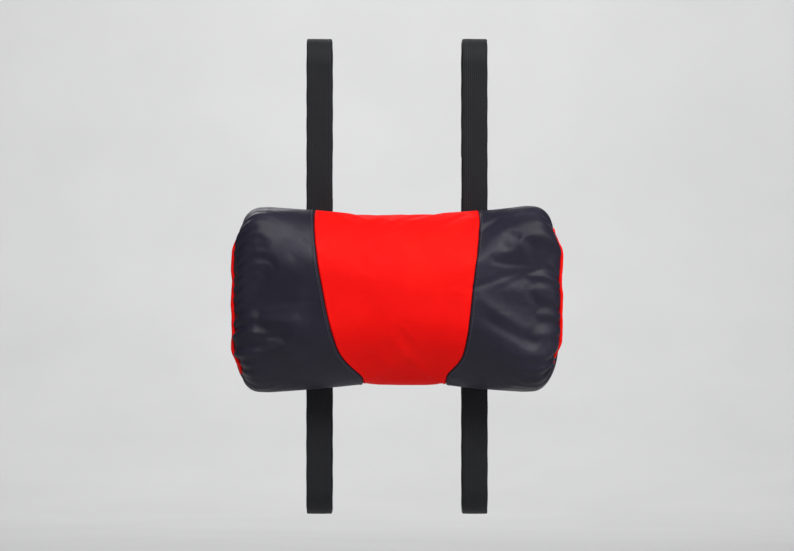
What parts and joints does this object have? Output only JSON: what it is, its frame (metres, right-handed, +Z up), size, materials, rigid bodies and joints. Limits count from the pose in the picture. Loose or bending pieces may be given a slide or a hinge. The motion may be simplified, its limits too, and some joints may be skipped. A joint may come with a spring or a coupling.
{
  "type": "lumbar support cushion",
  "caption": "Waisted lumbar support cushion with a contrasting front panel, rear zipper and two webbing loops with side-release buckles and strap adjusters.",
  "frame": {"origin": "centre of the cushion's flat back, on the plane that touches the backrest", "axes": "+X to the right seen from the front, +Y backwards into the backrest, +Z up"},
  "size_m": [0.3308, 0.195, 0.4859],
  "materials": {
    "centre_fabric": "smooth satin weave",
    "side_fabric": "satin weave with a soft sheen",
    "back_fabric": "satin weave",
    "liner": "matt non-woven",
    "filling": "matt fibre block",
    "webbing": "ribbed woven webbing",
    "elastic": "knitted elastic",
    "buckle_plastic": "lightly textured moulding",
    "zipper_tape": "woven tape",
    "zipper_coil": "semi-gloss",
    "zipper_metal": "black enamel"
  },
  "bodies": {
    "cushion": {"cover_front_centre": "centre_fabric", "cover_front_left": "side_fabric", "cover_front_right": "side_fabric", "cover_back_upper": "back_fabric", "cover_back_lower": "back_fabric", "end_panel_left": "centre_fabric", "end_panel_right": "centre_fabric", "end_piping_left": "centre_fabric", "end_piping_right": "centre_fabric", "inner_liner": "liner", "fibre_fill": "filling", "zipper_tape_upper": "zipper_tape", "zipper_tape_lower": "zipper_tape", "zipper_chain": "zipper_coil", "zipper_stops": "zipper_metal", "strap_upper_left": "webbing", "strap_elastic_left": "elastic", "strap_lower_left": "webbing", "strap_return_left": "webbing", "buckle_socket_left": "buckle_plastic", "strap_upper_right": "webbing", "strap_elastic_right": "elastic", "strap_lower_right": "webbing", "strap_return_right": "webbing", "buckle_socket_right": "buckle_plastic"},
    "plug_left": {"buckle_plug_left": "buckle_plastic", "plug_loop_left": "elastic"},
    "latch_left_a": {"latch_arm_left_a": "buckle_plastic"},
    "latch_left_b": {"latch_arm_left_b": "buckle_plastic"},
    "glide_left": {"triglide_left": "buckle_plastic", "glide_loop_left": "webbing"},
    "plug_right": {"buckle_plug_right": "buckle_plastic", "plug_loop_right": "elastic"},
    "latch_right_a": {"latch_arm_right_a": "buckle_plastic"},
    "latch_right_b": {"latch_arm_right_b": "buckle_plastic"},
    "glide_right": {"triglide_right": "buckle_plastic", "glide_loop_right": "webbing"},
    "zip_slider": {"zipper_slider": "zipper_metal"},
    "zip_pull": {"zipper_pull": "zipper_metal"}
  },
  "joints": [
    {"name": "buckle_release_left", "type": "slide", "parent": "cushion", "child": "plug_left", "axis": [0, 0, 1], "range_m": [0, 0.03], "deforming": ["strap_elastic_left", "latch_arm_left_a", "latch_arm_left_b"]},
    {"name": "latch_squeeze_left_a", "type": "hinge", "parent": "plug_left", "child": "latch_left_a", "pos_m": [-0.0889, 0.0945, 0.0522], "axis": [0, -1, 0], "range_deg": [0, 10], "stiffness_Nm_per_rad": 0.05},
    {"name": "latch_squeeze_left_b", "type": "hinge", "parent": "plug_left", "child": "latch_left_b", "pos_m": [-0.0699, 0.0945, 0.0522], "axis": [0, 1, 0], "range_deg": [0, 10], "stiffness_Nm_per_rad": 0.05},
    {"name": "adjuster_slide_left", "type": "slide", "parent": "cushion", "child": "glide_left", "axis": [0, 0, 1], "range_m": [0, 0.045], "deforming": ["strap_return_left"]},
    {"name": "buckle_release_right", "type": "slide", "parent": "cushion", "child": "plug_right", "axis": [0, 0, 1], "range_m": [0, 0.03], "deforming": ["strap_elastic_right", "latch_arm_right_a", "latch_arm_right_b"]},
    {"name": "latch_squeeze_right_a", "type": "hinge", "parent": "plug_right", "child": "latch_right_a", "pos_m": [0.0699, 0.0945, 0.0522], "axis": [0, -1, 0], "range_deg": [0, 10], "stiffness_Nm_per_rad": 0.05},
    {"name": "latch_squeeze_right_b", "type": "hinge", "parent": "plug_right", "child": "latch_right_b", "pos_m": [0.0889, 0.0945, 0.0522], "axis": [0, 1, 0], "range_deg": [0, 10], "stiffness_Nm_per_rad": 0.05},
    {"name": "adjuster_slide_right", "type": "slide", "parent": "cushion", "child": "glide_right", "axis": [0, 0, 1], "range_m": [0, 0.045], "deforming": ["strap_return_right"]},
    {"name": "zip_slide", "type": "slide", "parent": "cushion", "child": "zip_slider", "axis": [1, 0, 0], "range_m": [-0.224, 0]},
    {"name": "zip_pull_flip", "type": "hinge", "parent": "zip_slider", "child": "zip_pull", "pos_m": [0.113, 0.00155, -0.034], "axis": [0, 0, -1], "range_deg": [0, 175]}
  ],
  "couplings": [
    {"joint": "latch_squeeze_left_b", "follows": "latch_squeeze_left_a", "ratio": 1},
    {"joint": "latch_squeeze_right_b", "follows": "latch_squeeze_right_a", "ratio": 1}
  ]
}
